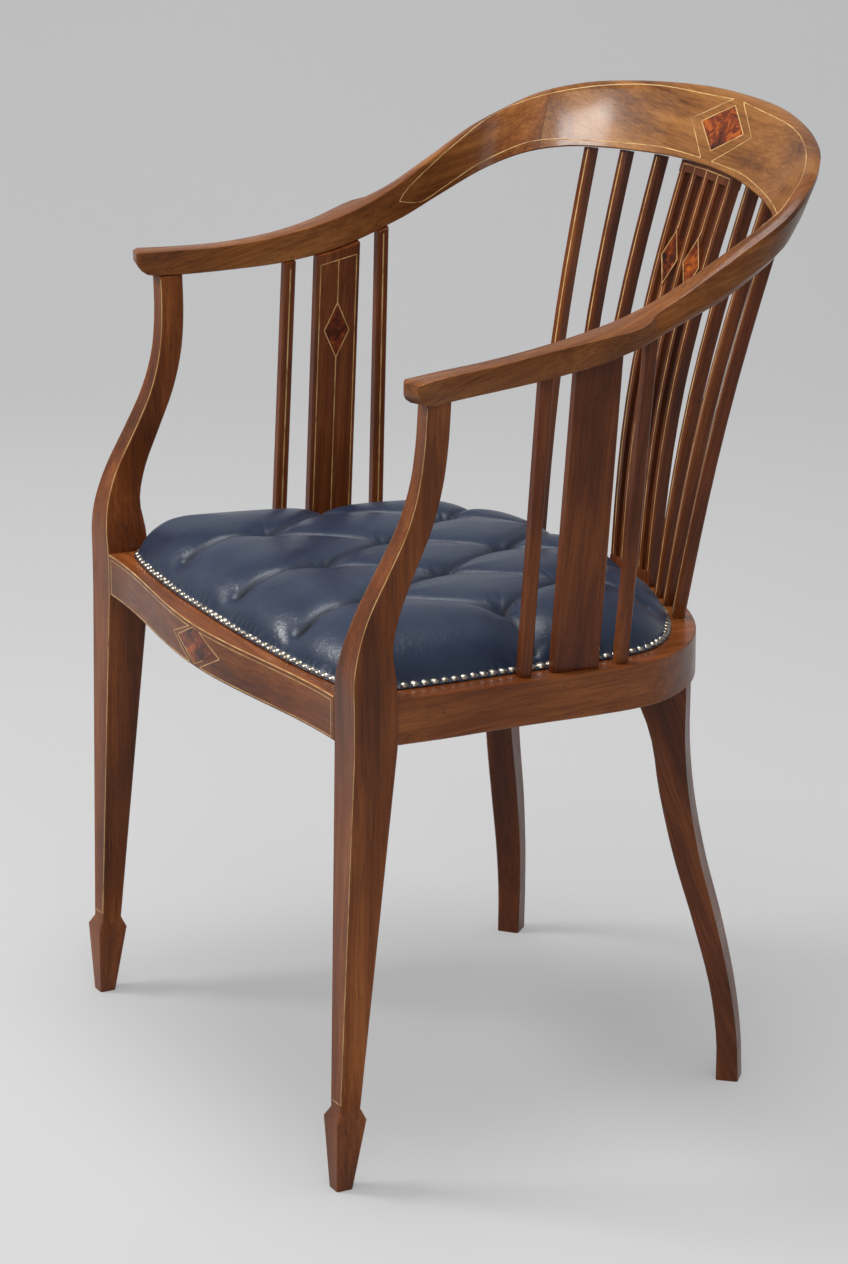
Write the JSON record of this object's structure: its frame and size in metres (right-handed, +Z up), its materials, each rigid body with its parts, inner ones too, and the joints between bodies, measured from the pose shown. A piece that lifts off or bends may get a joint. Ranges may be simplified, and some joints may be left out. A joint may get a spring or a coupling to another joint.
{
  "type": "open armchair",
  "caption": "Open armchair with a bow-shaped arm and top rail, square spindles, a pierced splat, inlaid lozenges, spade feet and a buttoned leather seat.",
  "frame": {"origin": "on the floor, under the middle of the chair", "axes": "+Z up, the chair faces -Y, +X is the sitter's left"},
  "size_m": [0.5456, 0.54, 0.8235],
  "materials": {
    "mahogany": "polished mahogany, red brown, close straight grain",
    "burr": "polished burr veneer, orange red",
    "boxwood": "polished boxwood stringing",
    "block": "bare secondary wood",
    "leather": "navy leather, soft gloss",
    "button": "navy leather over a button",
    "brass": "antiqued nail heads",
    "webbing": "woven jute",
    "hessian": "plain woven jute cloth"
  },
  "bodies": {
    "root": {"seat_rail_front": "mahogany", "seat_rail_left": "mahogany", "seat_rail_right": "mahogany", "seat_rail_back": "mahogany", "leg_front_left": "mahogany", "leg_front_right": "mahogany", "leg_back_left": "mahogany", "leg_back_right": "mahogany", "corner_block_front_left": "block", "corner_block_front_right": "block", "corner_block_back_left": "block", "corner_block_back_right": "block", "arm_left": "mahogany", "arm_right": "mahogany", "crest_rail": "mahogany", "side_spindle_front_left": "mahogany", "side_spindle_front_right": "mahogany", "side_spindle_rear_left": "mahogany", "side_spindle_rear_right": "mahogany", "side_slat_left": "mahogany", "side_slat_right": "mahogany", "back_spindle_left_1": "mahogany", "back_spindle_right_1": "mahogany", "back_spindle_left_2": "mahogany", "back_spindle_right_2": "mahogany", "back_spindle_left_3": "mahogany", "back_spindle_right_3": "mahogany", "back_splat": "mahogany", "inlay_rail_front": "burr", "inlay_crest": "burr", "inlay_slat_left": "burr", "inlay_slat_right": "burr", "inlay_splat_left": "burr", "inlay_splat_right": "burr", "webbing_cross_1": "webbing", "webbing_long_1": "webbing", "webbing_cross_2": "webbing", "webbing_long_2": "webbing", "webbing_cross_3": "webbing", "webbing_long_3": "webbing", "seat_base_cloth": "hessian", "seat_pad": "leather", "seat_button_01": "button", "seat_button_02": "button", "seat_button_03": "button", "seat_button_04": "button", "seat_button_05": "button", "seat_button_06": "button", "seat_button_07": "button", "seat_button_08": "button", "seat_button_09": "button", "seat_button_10": "button", "seat_button_11": "button", "seat_button_12": "button"}
  },
  "joints": []
}
